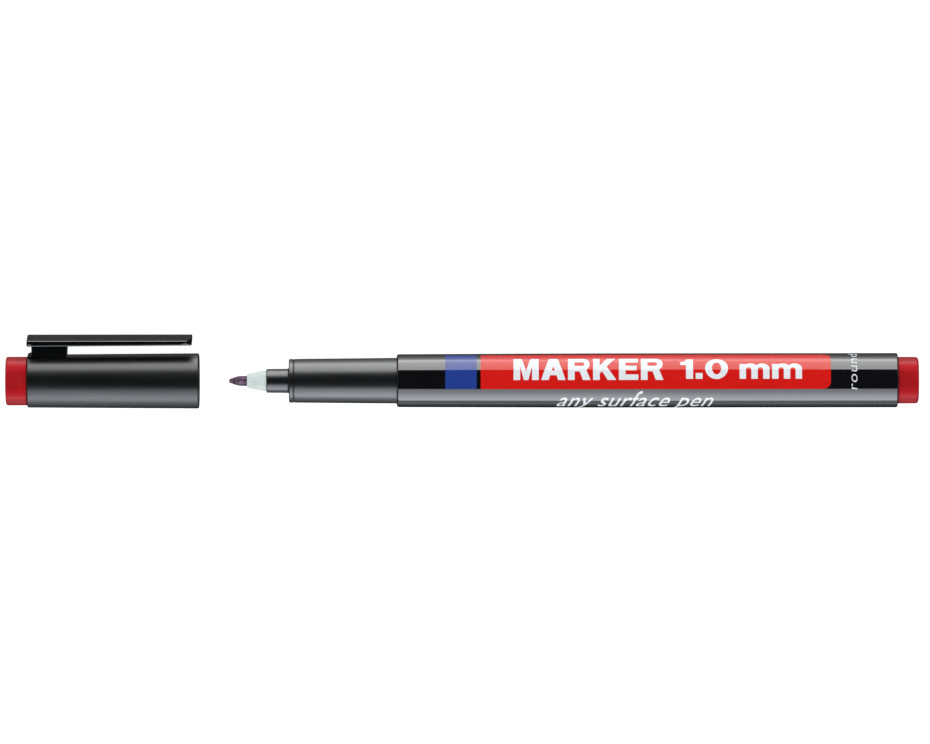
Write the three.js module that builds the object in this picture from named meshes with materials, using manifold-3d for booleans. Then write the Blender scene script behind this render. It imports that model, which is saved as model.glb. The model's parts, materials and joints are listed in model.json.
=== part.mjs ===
// A fibre-tip marker pen with its cap pulled off and lying in line with it.
// Millimetres, +Z up. The origin is the centre of the rear plug's flat end, on the pen's axis.
// +X runs along that axis, through the nib and on through the cap to the cap's closed end.
// The pen lies on a level surface at z = -CAP_MOUTH_RADIUS, where the cap's clip also touches it.

import * as THREE from 'three';
import { mergeVertices } from 'three/addons/utils/BufferGeometryUtils.js';
import Module from 'manifold-3d';

const wasm = await Module();
wasm.setup();

// ---- Driving dimensions ----

const SEGMENTS = 36; // sides of every turned piece, with one corner straight down

// Stations along the axis, from the rear end
const PLUG_HEAD_LENGTH = 4.08; // the red head of the rear plug
const SHOULDER_X = 101.88; // the barrel's front end, where the cap's mouth stops
const SECTION_FRONT_X = 122.95;
const NOZZLE_FRONT_X = 127.33;
const HOLDER_FRONT_X = 131.14;
const NIB_TIP_X = 134.66;
const CAP_MOUTH_X = 140.5;
const CAP_CLOSED_X = 174.05;
const CAP_END_X = 178.22; // the flat end of the cap's plug

// Barrel
const BARREL_RADIUS = 5.3;
const BARREL_FRONT_RADIUS = 5.17;
const BARREL_TAPER_X = 62; // the barrel narrows from here to its front
const BARREL_BORE = 4.3;
const BARREL_EDGE = 0.3;
const GROOVE_DEPTH = 0.15; // snap grooves that hold the plug and the section
const RING_HEIGHT = 0.1; // snap rings that sit in those grooves
const PLUG_RING_X = 8;
const SECTION_RING_X = 96.5;
const RING_LENGTH = 0.6;
const RIB_COUNT = 6; // lengthwise ribs that centre the ink reservoir
const RIB_WIDTH = 0.6;
const RIB_INNER_RADIUS = 3.7;
const RIB_START_X = 14;
const RIB_END_X = 90;

// Front section and nozzle
const SECTION_START_X = 92;
const SECTION_SPIGOT_RADIUS = 4.26;
const SECTION_REAR_RADIUS = 4.46;
const SECTION_FRONT_RADIUS = 4.27;
const SECTION_RIM_LENGTH = 0.82; // plain rim in front of the fine groove
const SECTION_LINE_WIDTH = 0.2;
const SECTION_LINE_DEPTH = 0.08;
const SECTION_BORE = 3.65;
const SECTION_CONE_START_X = 109;
const SECTION_CONE_END_X = 113;
const NOZZLE_REAR_RADIUS = 2.37;
const NOZZLE_FRONT_RADIUS = 2.32;
const NOZZLE_ROOT_FILLET = 0.2;
const NOZZLE_BORE = 1.75;

// Nib and its holder
const HOLDER_START_X = 114;
const HOLDER_STEM_RADIUS = 1.7;
const HOLDER_REAR_RADIUS = 2.08;
const HOLDER_FRONT_RADIUS = 1.36;
const HOLDER_BULGE = 0.06; // how far the cone's side bows outwards
const HOLDER_BORE = 1.04;
const NIB_RADIUS = 1;
const NIB_TIP_RADIUS = 0.36;
const NIB_TIP_LENGTH = 2.6; // the stretch over which the nib swells to full size
const NIB_START_X = 99.3;

// Ink reservoir
const RESERVOIR_RADIUS = 3.4;
const RESERVOIR_START_X = 12.5;
const RESERVOIR_END_X = 108;
const RESERVOIR_NIB_HOLE_RADIUS = 1.08;
const RESERVOIR_NIB_HOLE_X = 98.9;
const WRAP_INNER_RADIUS = 3.44;
const WRAP_THICKNESS = 0.14;

// Plugs
const PLUG_RADIUS = 4.55;
const PLUG_EDGE = 0.6;
const PLUG_SPIGOT_RADIUS = 4.25;
const PLUG_SPIGOT_END_X = 11.5;
const PLUG_HOLLOW_RADIUS = 3.2;
const PLUG_FLOOR = 2.2;
const CAP_PLUG_RADIUS = 4.75;
const CAP_PLUG_SPIGOT_RADIUS = 3.85;
const CAP_PLUG_SPIGOT_X = 167.6;
const CAP_PLUG_HOLLOW_RADIUS = 2.95;
const CAP_PLUG_FLOOR = 1.2;

// Cap
const CAP_MOUTH_RADIUS = 5.4;
const CAP_CLOSED_RADIUS = 5.18;
const CAP_EDGE = 0.3;
const CAP_BORE = 4.56;
const CAP_LIP_X = 171.4; // the bore steps in here to hold the end plug
const CAP_LIP_RADIUS = 3.9;
const INNER_CAP_MOUTH_DEPTH = 21.27;
const INNER_CAP_END_DEPTH = 36.12;
const INNER_CAP_RADIUS = 2.9;
const INNER_CAP_BORE = 2.42;
const INNER_CAP_END_WALL = 0.8;
const INNER_CAP_FLARE = 0.3;

// Clip, in its own frame: x along the pen, y across the clip, z straight out from the axis
const CLIP_WIDTH = 5;
const CLIP_OUTER = 8.8;
const CLIP_INNER_ROOT = 7.61;
const CLIP_INNER_TIP = 7.83;
const CLIP_TIP_X = 141.81;
const CLIP_END_X = 174.06;
const CLIP_SPLIT_X = 165.4; // where the arm starts to bend
const CLIP_SPLIT_GAP = 0.3;
const CLIP_END_RADIUS = 0.3;
const CLIP_TIP_CUT_LENGTH = 1.15; // the facet at one outer corner of the tip
const CLIP_TIP_CUT_WIDTH = 2.6;
const CLIP_TIP_CUT_DEPTH = 0.87;
const POST_WIDTH = 3;
const POST_FRONT_X = 166.05;
const POST_FRONT_FOOT_X = 166.25;
const POST_REAR_X = 173.16;
const POST_FOOT_HEIGHT = 0.55;
const POST_GAP = 0.05;

const FIT = 0.02; // gap between faces that rest on each other

// The cap and its clip lie with one corner of the clip on the same surface as the cap's mouth.
const CLIP_CORNER_REACH = Math.hypot(CLIP_OUTER, CLIP_WIDTH / 2);
const CLIP_CORNER_ANGLE = Math.atan2(CLIP_WIDTH / 2, CLIP_OUTER);
const CLIP_DROP = Math.asin(CAP_MOUTH_RADIUS / CLIP_CORNER_REACH) - CLIP_CORNER_ANGLE;
// Turn about the pen's axis from straight up, through -Y, to the clip's direction
const CLIP_TURN = Math.PI / 2 + CLIP_DROP;

// ---- Shape helpers ----

// Points on a quarter or other arc in the (x, radius) plane, angles from +x towards +radius
function arc(x, radius, size, from, to, steps = 3) {
  const points = [];
  for (let i = 0; i <= steps; i += 1) {
    const angle = from + ((to - from) * i) / steps;
    points.push([x + size * Math.cos(angle), radius + size * Math.sin(angle)]);
  }
  return points;
}

// Revolves [x, radius] points about the x axis: outer wall with x rising, then the inner wall back
function turned(points) {
  const profile = points.map(([x, radius]) => new THREE.Vector2(Math.max(radius, 0), x));
  const geometry = new THREE.LatheGeometry(profile, SEGMENTS);
  geometry.rotateZ(-Math.PI / 2);
  return geometry;
}

// As turned, for a ring or tube whose profile closes on itself
function turnedRing(points) {
  return turned([...points, points[0]]);
}

function toManifold(geometry) {
  const bare = geometry.clone();
  bare.deleteAttribute('normal');
  bare.deleteAttribute('uv');
  const merged = mergeVertices(bare, 1e-4);
  const index = merged.index.array;
  const corners = [];
  for (let i = 0; i < index.length; i += 3) {
    const [a, b, c] = [index[i], index[i + 1], index[i + 2]];
    if (a !== b && b !== c && a !== c) {
      corners.push(a, b, c);
    }
  }
  const mesh = new wasm.Mesh({
    numProp: 3,
    vertProperties: new Float32Array(merged.attributes.position.array),
    triVerts: new Uint32Array(corners),
  });
  return new wasm.Manifold(mesh);
}

function toGeometry(manifold) {
  const mesh = manifold.getMesh();
  const geometry = new THREE.BufferGeometry();
  geometry.setAttribute('position', new THREE.BufferAttribute(mesh.vertProperties, 3));
  geometry.setIndex(new THREE.BufferAttribute(mesh.triVerts, 1));
  geometry.computeVertexNormals();
  return geometry;
}

// An outline in (x, z) pushed out to an equal width on both sides of y = 0
function sideExtrusion(points, width) {
  const shape = new THREE.Shape(points.map(([x, z]) => new THREE.Vector2(x, z)));
  const geometry = new THREE.ExtrudeGeometry(shape, { depth: width, bevelEnabled: false });
  geometry.rotateX(Math.PI / 2);
  geometry.translate(0, width / 2, 0);
  return geometry;
}

// ---- Materials ----

function plastic(color, roughness) {
  return new THREE.MeshStandardMaterial({ color, roughness, metalness: 0 });
}

const glossBlack = plastic(0x0d0c0f, 0.12);
const mattBlack = plastic(0x151516, 0.45);
const capBlack = plastic(0x131314, 0.5);
const glossRed = plastic(0xa5191d, 0.25);
const nibWhite = plastic(0xdfe6e4, 0.4);
const nibInk = plastic(0x33202c, 0.8);
const fibreWhite = plastic(0xe9e4dc, 0.9);
const filmClear = plastic(0xf2f2ee, 0.3);
const sealWhite = plastic(0xe6e6e2, 0.4);

function piece(name, geometry, material) {
  const mesh = new THREE.Mesh(geometry, material);
  mesh.name = name;
  return mesh;
}

// ---- The pen ----

// A snap groove or ring, as points along a wall whose radius is given
function band(centre, radius, change) {
  const half = RING_LENGTH / 2;
  const slope = Math.abs(change) * 2;
  return [
    [centre - half - slope, radius],
    [centre - half, radius + change],
    [centre + half, radius + change],
    [centre + half + slope, radius],
  ];
}

function barrelRib(number) {
  const outer = BARREL_BORE + 0.3;
  const depth = outer - RIB_INNER_RADIUS;
  const rib = new THREE.BoxGeometry(RIB_END_X - RIB_START_X, RIB_WIDTH, depth);
  rib.translate((RIB_START_X + RIB_END_X) / 2, 0, RIB_INNER_RADIUS + depth / 2);
  rib.rotateX((2 * Math.PI * number) / RIB_COUNT);
  return toManifold(rib);
}

function barrel() {
  const rear = PLUG_HEAD_LENGTH;
  const tube = turnedRing([
    ...arc(rear + BARREL_EDGE, BARREL_RADIUS - BARREL_EDGE, BARREL_EDGE, Math.PI, Math.PI / 2),
    [BARREL_TAPER_X, BARREL_RADIUS],
    ...arc(SHOULDER_X - BARREL_EDGE, BARREL_FRONT_RADIUS - BARREL_EDGE, BARREL_EDGE, Math.PI / 2, 0),
    [SHOULDER_X, BARREL_BORE],
    ...band(SECTION_RING_X, BARREL_BORE, GROOVE_DEPTH).reverse(),
    ...band(PLUG_RING_X, BARREL_BORE, GROOVE_DEPTH).reverse(),
    [rear, BARREL_BORE],
  ]);
  let solid = toManifold(tube);
  for (let number = 0; number < RIB_COUNT; number += 1) {
    solid = solid.add(barrelRib(number));
  }
  return piece('barrel', toGeometry(solid), glossBlack);
}

function rearPlug() {
  const headFront = PLUG_HEAD_LENGTH - FIT;
  const geometry = turned([
    [0, 0],
    ...arc(PLUG_EDGE, PLUG_RADIUS - PLUG_EDGE, PLUG_EDGE, Math.PI, Math.PI / 2, 4),
    [headFront, PLUG_RADIUS],
    [headFront, PLUG_SPIGOT_RADIUS],
    ...band(PLUG_RING_X, PLUG_SPIGOT_RADIUS, RING_HEIGHT),
    [PLUG_SPIGOT_END_X, PLUG_SPIGOT_RADIUS],
    [PLUG_SPIGOT_END_X, PLUG_HOLLOW_RADIUS],
    [PLUG_FLOOR, PLUG_HOLLOW_RADIUS],
    [PLUG_FLOOR, 0],
  ]);
  return piece('rear_plug', geometry, glossRed);
}

function frontSection() {
  const step = SHOULDER_X + FIT;
  const lineX = SECTION_FRONT_X - SECTION_RIM_LENGTH;
  const lineFloor = SECTION_FRONT_RADIUS - SECTION_LINE_DEPTH;
  const edge = 0.15;
  const noseEdge = 0.12;
  const geometry = turnedRing([
    [SECTION_START_X, SECTION_SPIGOT_RADIUS],
    ...band(SECTION_RING_X, SECTION_SPIGOT_RADIUS, RING_HEIGHT),
    [step, SECTION_SPIGOT_RADIUS],
    [step, SECTION_REAR_RADIUS],
    [lineX - SECTION_LINE_WIDTH, SECTION_FRONT_RADIUS],
    [lineX - SECTION_LINE_WIDTH / 2, lineFloor],
    [lineX, SECTION_FRONT_RADIUS],
    ...arc(SECTION_FRONT_X - edge, SECTION_FRONT_RADIUS - edge, edge, Math.PI / 2, 0, 2),
    [SECTION_FRONT_X, NOZZLE_REAR_RADIUS + NOZZLE_ROOT_FILLET],
    [SECTION_FRONT_X + NOZZLE_ROOT_FILLET, NOZZLE_REAR_RADIUS],
    ...arc(NOZZLE_FRONT_X - noseEdge, NOZZLE_FRONT_RADIUS - noseEdge, noseEdge, Math.PI / 2, 0, 2),
    [NOZZLE_FRONT_X, NOZZLE_BORE],
    [SECTION_CONE_END_X, NOZZLE_BORE],
    [SECTION_CONE_START_X, SECTION_BORE],
    [SECTION_START_X, SECTION_BORE],
  ]);
  return piece('front_section', geometry, mattBlack);
}

function nibHolder() {
  const collar = NOZZLE_FRONT_X + FIT;
  const length = HOLDER_FRONT_X - collar;
  const side = [];
  const steps = 6;
  for (let i = 0; i <= steps; i += 1) {
    const share = i / steps;
    const straight = HOLDER_REAR_RADIUS + (HOLDER_FRONT_RADIUS - HOLDER_REAR_RADIUS) * share;
    side.push([collar + length * share, straight + HOLDER_BULGE * Math.sin(Math.PI * share)]);
  }
  const geometry = turnedRing([
    [HOLDER_START_X, HOLDER_STEM_RADIUS],
    [collar, HOLDER_STEM_RADIUS],
    ...side,
    [HOLDER_FRONT_X, HOLDER_BORE],
    [HOLDER_START_X, HOLDER_BORE],
  ]);
  return piece('nib_holder', geometry, nibWhite);
}

function fibreNib() {
  const steps = 7;
  const point = [];
  for (let i = 0; i <= steps; i += 1) {
    const share = 1 - i / steps;
    const swell = (NIB_RADIUS - NIB_TIP_RADIUS) * Math.sin((Math.PI / 2) * share);
    point.push([NIB_TIP_X - NIB_TIP_LENGTH * share, NIB_TIP_RADIUS + swell]);
  }
  const geometry = turned([
    [NIB_START_X, 0],
    [NIB_START_X, NIB_RADIUS],
    ...point,
    [NIB_TIP_X, 0],
  ]);
  return piece('fibre_nib', geometry, nibInk);
}

function inkReservoir() {
  const geometry = turned([
    [RESERVOIR_START_X, 0],
    [RESERVOIR_START_X, RESERVOIR_RADIUS],
    [RESERVOIR_END_X, RESERVOIR_RADIUS],
    [RESERVOIR_END_X, RESERVOIR_NIB_HOLE_RADIUS],
    [RESERVOIR_NIB_HOLE_X, RESERVOIR_NIB_HOLE_RADIUS],
    [RESERVOIR_NIB_HOLE_X, 0],
  ]);
  return piece('ink_reservoir', geometry, fibreWhite);
}

function reservoirWrap() {
  const outer = WRAP_INNER_RADIUS + WRAP_THICKNESS;
  const geometry = turnedRing([
    [RESERVOIR_START_X, outer],
    [RESERVOIR_END_X, outer],
    [RESERVOIR_END_X, WRAP_INNER_RADIUS],
    [RESERVOIR_START_X, WRAP_INNER_RADIUS],
  ]);
  return piece('reservoir_wrap', geometry, filmClear);
}

// ---- The cap ----

// The cap's outer wall, grown by a margin, as a plain solid cone for cutting the clip's foot
function capEnvelope(margin) {
  return turned([
    [CAP_MOUTH_X - 1, 0],
    [CAP_MOUTH_X - 1, CAP_MOUTH_RADIUS + margin],
    [CAP_MOUTH_X, CAP_MOUTH_RADIUS + margin],
    [CAP_CLOSED_X + 1, CAP_CLOSED_RADIUS + margin],
    [CAP_CLOSED_X + 1, 0],
  ]);
}

function capTube() {
  const outerMouth = CAP_MOUTH_RADIUS - CAP_EDGE;
  const outerClosed = CAP_CLOSED_RADIUS - CAP_EDGE;
  const geometry = turnedRing([
    ...arc(CAP_MOUTH_X + CAP_EDGE, outerMouth, CAP_EDGE, Math.PI, Math.PI / 2),
    ...arc(CAP_CLOSED_X - CAP_EDGE, outerClosed, CAP_EDGE, Math.PI / 2, 0),
    [CAP_CLOSED_X, CAP_LIP_RADIUS],
    [CAP_LIP_X, CAP_LIP_RADIUS],
    [CAP_LIP_X, CAP_BORE],
    [CAP_MOUTH_X, CAP_BORE],
  ]);
  return piece('cap_tube', geometry, capBlack);
}

function capEndPlug() {
  const headStart = CAP_CLOSED_X + FIT;
  const hollowEnd = CAP_END_X - CAP_PLUG_FLOOR;
  const geometry = turned([
    [hollowEnd, 0],
    [hollowEnd, CAP_PLUG_HOLLOW_RADIUS],
    [CAP_PLUG_SPIGOT_X, CAP_PLUG_HOLLOW_RADIUS],
    [CAP_PLUG_SPIGOT_X, CAP_PLUG_SPIGOT_RADIUS],
    [headStart, CAP_PLUG_SPIGOT_RADIUS],
    [headStart, CAP_PLUG_RADIUS],
    ...arc(CAP_END_X - PLUG_EDGE, CAP_PLUG_RADIUS - PLUG_EDGE, PLUG_EDGE, Math.PI / 2, 0, 4),
    [CAP_END_X, 0],
  ]);
  return piece('cap_end_plug', geometry, glossRed);
}

function innerCap() {
  const mouth = CAP_MOUTH_X + INNER_CAP_MOUTH_DEPTH;
  const end = CAP_MOUTH_X + INNER_CAP_END_DEPTH;
  const floor = end - INNER_CAP_END_WALL;
  const edge = 0.4;
  const geometry = turned([
    [floor, 0],
    [floor, INNER_CAP_BORE],
    [mouth + INNER_CAP_FLARE, INNER_CAP_BORE],
    [mouth, INNER_CAP_BORE + INNER_CAP_FLARE],
    [mouth, INNER_CAP_RADIUS],
    ...arc(end - edge, INNER_CAP_RADIUS - edge, edge, Math.PI / 2, 0),
    [end, 0],
  ]);
  return piece('inner_cap', geometry, sealWhite);
}

// ---- The clip ----

// The clip's inner face slopes away from the cap towards the tip.
function clipInner(x) {
  const share = (CLIP_END_X - x) / (CLIP_END_X - CLIP_TIP_X);
  return CLIP_INNER_ROOT + (CLIP_INNER_TIP - CLIP_INNER_ROOT) * share;
}

function clipRoot() {
  const armStart = CLIP_SPLIT_X + CLIP_SPLIT_GAP / 2;
  const round = CLIP_END_RADIUS - 0.05;
  const arm = sideExtrusion([
    [armStart, clipInner(armStart)],
    ...arc(CLIP_END_X - round, CLIP_INNER_ROOT + round, round, -Math.PI / 2, 0),
    ...arc(CLIP_END_X - round, CLIP_OUTER - round, round, 0, Math.PI / 2),
    [armStart, CLIP_OUTER],
  ], CLIP_WIDTH);
  const sunk = CAP_CLOSED_RADIUS - 1;
  const into = CLIP_INNER_ROOT + 0.3;
  const post = sideExtrusion([
    [POST_FRONT_FOOT_X, sunk],
    [CAP_CLOSED_X - 0.1, sunk],
    [CAP_CLOSED_X - 0.1, CAP_CLOSED_RADIUS + 0.08],
    [CAP_CLOSED_X - 0.4, CAP_CLOSED_RADIUS + 0.3],
    [POST_REAR_X + 0.1, CAP_CLOSED_RADIUS + POST_FOOT_HEIGHT],
    [POST_REAR_X, CAP_CLOSED_RADIUS + POST_FOOT_HEIGHT + 0.15],
    [POST_REAR_X, into],
    [POST_FRONT_X, into],
  ], POST_WIDTH);
  const solid = toManifold(arm.rotateX(CLIP_TURN))
    .add(toManifold(post.rotateX(CLIP_TURN)))
    .subtract(toManifold(capEnvelope(POST_GAP)));
  return piece('clip_root', toGeometry(solid), glossBlack);
}

function clipArm() {
  const armEnd = CLIP_SPLIT_X - CLIP_SPLIT_GAP / 2;
  const half = CLIP_WIDTH / 2;
  const bar = sideExtrusion([
    [CLIP_TIP_X, CLIP_INNER_TIP],
    [armEnd, clipInner(armEnd)],
    [armEnd, CLIP_OUTER],
    [CLIP_TIP_X, CLIP_OUTER],
  ], CLIP_WIDTH);
  const facet = new THREE.Plane().setFromCoplanarPoints(
    new THREE.Vector3(CLIP_TIP_X + CLIP_TIP_CUT_LENGTH, half, CLIP_OUTER),
    new THREE.Vector3(CLIP_TIP_X, half - CLIP_TIP_CUT_WIDTH, CLIP_OUTER),
    new THREE.Vector3(CLIP_TIP_X, half, CLIP_OUTER - CLIP_TIP_CUT_DEPTH),
  );
  const normal = facet.normal;
  const solid = toManifold(bar).trimByPlane([normal.x, normal.y, normal.z], -facet.constant);
  const mesh = piece('clip_arm', toGeometry(solid), glossBlack);
  mesh.rotation.x = CLIP_TURN;
  return mesh;
}

// ---- Assembly ----

const pen = new THREE.Group();
pen.add(barrel(), rearPlug(), frontSection(), nibHolder(), fibreNib(), inkReservoir(), reservoirWrap());

const cap = new THREE.Group();
cap.add(capTube(), capEndPlug(), innerCap(), clipRoot(), clipArm());

const marker = new THREE.Group();
marker.add(pen, cap);

export default marker;
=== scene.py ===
"""Looks of a fibre-tip marker pen that lies with its cap off, in line with the cap.

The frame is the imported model's: metres, the origin at the centre of the rear plug's flat end, +X along the
pen through its nib to the cap's closed end, +Z up. Lengths typed in this script are millimetres times MM,
unless a comment says otherwise.
"""

import json
import math

import bmesh
import bpy
from mathutils import Matrix, Vector, noise


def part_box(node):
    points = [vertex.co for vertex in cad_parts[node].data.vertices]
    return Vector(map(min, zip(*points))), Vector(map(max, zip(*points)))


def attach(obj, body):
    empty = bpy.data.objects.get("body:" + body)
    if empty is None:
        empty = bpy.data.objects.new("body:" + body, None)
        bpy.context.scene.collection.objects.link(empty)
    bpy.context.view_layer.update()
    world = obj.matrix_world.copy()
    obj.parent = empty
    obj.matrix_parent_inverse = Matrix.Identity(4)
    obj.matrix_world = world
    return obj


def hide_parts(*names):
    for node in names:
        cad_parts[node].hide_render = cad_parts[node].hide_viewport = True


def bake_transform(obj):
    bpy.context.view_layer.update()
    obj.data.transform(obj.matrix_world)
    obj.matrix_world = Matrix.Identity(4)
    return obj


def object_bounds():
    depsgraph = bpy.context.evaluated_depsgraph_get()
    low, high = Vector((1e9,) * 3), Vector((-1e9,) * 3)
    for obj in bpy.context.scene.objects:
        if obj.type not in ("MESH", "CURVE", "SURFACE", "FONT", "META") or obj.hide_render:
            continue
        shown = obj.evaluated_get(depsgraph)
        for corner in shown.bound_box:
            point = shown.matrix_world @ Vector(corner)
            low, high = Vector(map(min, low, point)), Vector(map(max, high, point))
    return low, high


MM = 0.001

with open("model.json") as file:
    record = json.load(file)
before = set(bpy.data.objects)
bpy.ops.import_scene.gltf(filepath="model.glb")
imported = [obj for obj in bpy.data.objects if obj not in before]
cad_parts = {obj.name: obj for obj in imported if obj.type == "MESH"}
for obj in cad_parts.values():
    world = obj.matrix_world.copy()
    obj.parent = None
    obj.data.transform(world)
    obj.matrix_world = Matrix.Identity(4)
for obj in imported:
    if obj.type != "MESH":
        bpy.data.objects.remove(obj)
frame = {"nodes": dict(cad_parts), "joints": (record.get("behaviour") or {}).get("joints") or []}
cad_low, cad_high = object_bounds()


def span(node):
    """Start, end and outer radius of a turned CAD node about the pen's axis."""
    low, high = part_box(node)
    return low.x, high.x, high.z


# ---- Driving dimensions ----

PEN_LENGTH = cad_high.x - cad_low.x
PLUG_START, _, PLUG_RADIUS = span("rear_plug")
BARREL_START, SHOULDER, BARREL_RADIUS = span("barrel")
_, NOZZLE_FRONT, SECTION_REAR_RADIUS = span("front_section")
HOLDER_START, HOLDER_FRONT, HOLDER_REAR_RADIUS = span("nib_holder")
NIB_START, NIB_TIP, NIB_RADIUS = span("fibre_nib")
CAP_MOUTH, CAP_CLOSED, CAP_MOUTH_RADIUS = span("cap_tube")
_, CAP_END, CAP_PLUG_RADIUS = span("cap_end_plug")
SEAL_MOUTH, SEAL_END, SEAL_RADIUS = span("inner_cap")

BARREL_FRONT_RADIUS = 5.17 * MM
BARREL_TAPER = 62 * MM  # the barrel narrows from here to its shoulder
BARREL_BORE = 4.3 * MM

SECTION_START = 92 * MM
SECTION_FRONT = 122.95 * MM
SECTION_FRONT_RADIUS = 4.27 * MM
SECTION_SPIGOT_RADIUS = 4.26 * MM
SECTION_BORE = 3.65 * MM
BORE_STEP_REAR = 109 * MM  # the section's bore narrows to the nozzle's bore between these two
BORE_STEP_FRONT = 113 * MM
SECTION_RIM = 0.8 * MM  # plain rim in front of the fine groove
GROOVE_WIDTH = 0.3 * MM
GROOVE_DEPTH = 0.14 * MM
NOZZLE_REAR_RADIUS = 2.37 * MM
NOZZLE_FRONT_RADIUS = 2.32 * MM
NOZZLE_BORE = 1.75 * MM

HOLDER_STEM_RADIUS = 1.7 * MM
HOLDER_FRONT_RADIUS = 1.36 * MM
HOLDER_BULGE = 0.06 * MM
HOLDER_BORE = 1.04 * MM
NIB_TIP_RADIUS = 0.36 * MM
NIB_SWELL = 2.6 * MM  # the stretch over which the nib swells to its full size
NIB_CROWN = 0.12 * MM  # length of the nib's rounded end

PLUG_EDGE = 0.6 * MM
PLUG_SPIGOT_RADIUS = 4.25 * MM
PLUG_SPIGOT_LENGTH = 7.3 * MM
PLUG_HOLLOW_RADIUS = 3.2 * MM
PLUG_WALL = 1.2 * MM

CAP_CLOSED_RADIUS = 5.18 * MM
CAP_EDGE = 0.28 * MM
SEAM_EDGE = 0.16 * MM  # rounding of a plug's edge at its seam
SEAM_GAP = 0.02 * MM  # between two pieces that meet at a visible seam
CAP_BORE = 4.56 * MM
CAP_LIP = 2.62 * MM  # length of the narrow mouth that holds the end plug
CAP_LIP_RADIUS = 3.9 * MM
CAP_SPIGOT_RADIUS = 3.85 * MM
CAP_SPIGOT_LENGTH = 6.4 * MM
CAP_SPIGOT_WALL = 0.9 * MM
CAP_PLUG_EDGE = 0.4 * MM
SEAL_BORE = 2.42 * MM
SEAL_FLARE = 0.3 * MM
SEAL_FLOOR = 0.8 * MM

CLIP_WIDTH = 5 * MM
CLIP_OUTER = 8.8 * MM  # outer face's distance from the axis
CLIP_INNER_ROOT = 7.61 * MM
CLIP_INNER_TIP = 7.83 * MM
CLIP_EDGE = 0.24 * MM
CLIP_ROOT_EDGE = 0.3 * MM
CLIP_CUT_LENGTH = 1.15 * MM  # the facet at one outer corner of the tip
CLIP_CUT_WIDTH = 2.6 * MM
CLIP_CUT_DEPTH = 0.87 * MM
CLIP_CUT_EDGE = 0.07 * MM
POST_WIDTH = 3 * MM
POST_FRONT = 166.05 * MM
POST_REAR = 173.16 * MM
POST_SUNK = 4.65 * MM  # the post's foot ends inside the cap's wall

ROUND_SIDES = 160
SHARP_ANGLE = math.radians(40)
SOFT_ANGLE = math.radians(30)  # edges of a slab that turn by more than this are rounded
CUT_TOLERANCE = 1e-7  # metres within which a point counts as on the cutting plane

# The camera looks down on the pen's printed side from -Y, with -X to its right and the clip at its top.
VIEW_ELEVATION = math.radians(53.68)
VIEW_RIGHT = Vector((-1, 0, 0))
VIEW_UP = Vector((0, -math.sin(VIEW_ELEVATION), -math.cos(VIEW_ELEVATION)))
VIEW_BACK = VIEW_RIGHT.cross(VIEW_UP)
VIEW_DISTANCE = 1.8  # metres
VIEW_SPAN = 181.72 * MM  # length of the object's surroundings that fills the picture's width
VIEW_CENTRE = 88.56 * MM
VIEW_RISE = 1.69 * MM  # how far above the pen's axis the middle of the picture is
VIEW_ROLL = math.radians(0.06)  # the pen's rear end lies a little higher in the picture


def make_camera():
    camera = bpy.data.cameras.new("camera")
    camera.sensor_width = 36
    camera.lens = camera.sensor_width * VIEW_DISTANCE / VIEW_SPAN
    holder = bpy.data.objects.new("camera", camera)
    aim = Vector((VIEW_CENTRE, 0, 0)) + VIEW_UP * VIEW_RISE
    turn = Matrix((VIEW_RIGHT, VIEW_UP, VIEW_BACK)).transposed() @ Matrix.Rotation(-VIEW_ROLL, 3, "Z")
    holder.matrix_world = Matrix.Translation(aim + VIEW_BACK * VIEW_DISTANCE) @ turn.to_4x4()
    bpy.context.scene.collection.objects.link(holder)
    bpy.context.scene.camera = holder


make_camera()

# ---- Materials ----


def shader_of(name, roughness, **sockets):
    """A new material and its Principled shader, with the given constant sockets set."""
    material = bpy.data.materials.new(name)
    material.use_nodes = True
    shader = material.node_tree.nodes["Principled BSDF"]
    shader.inputs["Roughness"].default_value = roughness
    for socket, value in sockets.items():
        shader.inputs[socket.replace("_", " ")].default_value = value
    return material, shader


FIELD_LOW = 0.3  # most of a noise field lies between these two
FIELD_HIGH = 0.7


def cloudiness(material, size, stretch=(1, 1, 1), detail=3):
    """A noise field over the piece, with blotches of about the given size."""
    nodes, links = material.node_tree.nodes, material.node_tree.links
    place = nodes.new("ShaderNodeTexCoord")
    mapping = nodes.new("ShaderNodeMapping")
    mapping.inputs["Scale"].default_value = [1 / (size * share) for share in stretch]
    field = nodes.new("ShaderNodeTexNoise")
    field.inputs["Scale"].default_value = 1
    field.inputs["Detail"].default_value = detail
    links.new(place.outputs["Object"], mapping.inputs["Vector"])
    links.new(mapping.outputs["Vector"], field.inputs["Vector"])
    return field.outputs["Fac"]


def vary_roughness(material, shader, field, low, high):
    """Makes the roughness follow the field between two values."""
    nodes, links = material.node_tree.nodes, material.node_tree.links
    ranged = nodes.new("ShaderNodeMapRange")
    ranged.inputs["From Min"].default_value = FIELD_LOW
    ranged.inputs["From Max"].default_value = FIELD_HIGH
    ranged.inputs["To Min"].default_value = low
    ranged.inputs["To Max"].default_value = high
    links.new(field, ranged.inputs["Value"])
    links.new(ranged.outputs["Result"], shader.inputs["Roughness"])


def vary_colour(material, shader, field, first, second, start=0.35, end=0.65):
    """Makes the colour go from the first to the second where the field rises from start to end."""
    nodes, links = material.node_tree.nodes, material.node_tree.links
    ramp = nodes.new("ShaderNodeValToRGB")
    ramp.color_ramp.elements[0].position = start
    ramp.color_ramp.elements[0].color = (*first, 1)
    ramp.color_ramp.elements[1].position = end
    ramp.color_ramp.elements[1].color = (*second, 1)
    links.new(field, ramp.inputs["Fac"])
    links.new(ramp.outputs["Color"], shader.inputs["Base Color"])


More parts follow.
